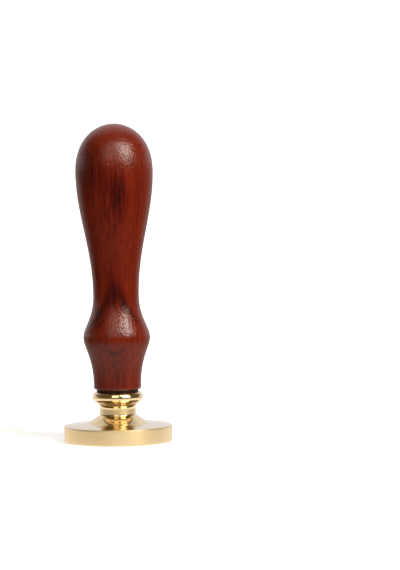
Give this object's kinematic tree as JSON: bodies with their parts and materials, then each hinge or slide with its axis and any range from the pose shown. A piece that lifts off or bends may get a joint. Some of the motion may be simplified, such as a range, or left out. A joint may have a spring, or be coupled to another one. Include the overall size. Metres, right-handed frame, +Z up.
{
  "type": "wax seal stamp",
  "caption": "Hand stamp for sealing wax: a turned, lacquered wooden handle with a waist and a bulb, screwed onto a flared brass head with an engraved round die face.",
  "frame": {"origin": "centre of the die face that the stamp stands on", "axes": "+Z up the common axis of the head and the handle, towards the bulb; X and Y lie in the die face"},
  "size_m": [0.0304, 0.0304, 0.0896],
  "materials": {
    "handle_wood": "glossy clear lacquer over red-brown, straight-grained wood",
    "stud_steel": "zinc-plated steel with rolled threads",
    "washer_rubber": "matt black",
    "head_brass": "polished neck and bead, fine turning lines on the edge of the disc"
  },
  "bodies": {
    "head": {"stamp_head": "head_brass"},
    "washer": {"seating_washer": "washer_rubber"},
    "handle": {"wooden_handle": "handle_wood", "handle_stud": "stud_steel"}
  },
  "joints": [
    {"name": "handle_rise", "type": "slide", "parent": "head", "child": "washer", "axis": [0, 0, 1], "range_m": [0, 0.0082]},
    {"name": "handle_turn", "type": "hinge", "parent": "washer", "child": "handle", "pos_m": [0, 0, 0.0142], "axis": [0, 0, 1], "range_deg": [0, 2340]}
  ],
  "couplings": [
    {"joint": "handle_rise", "follows": "handle_turn", "m_per_rad": 0.00019894}
  ]
}
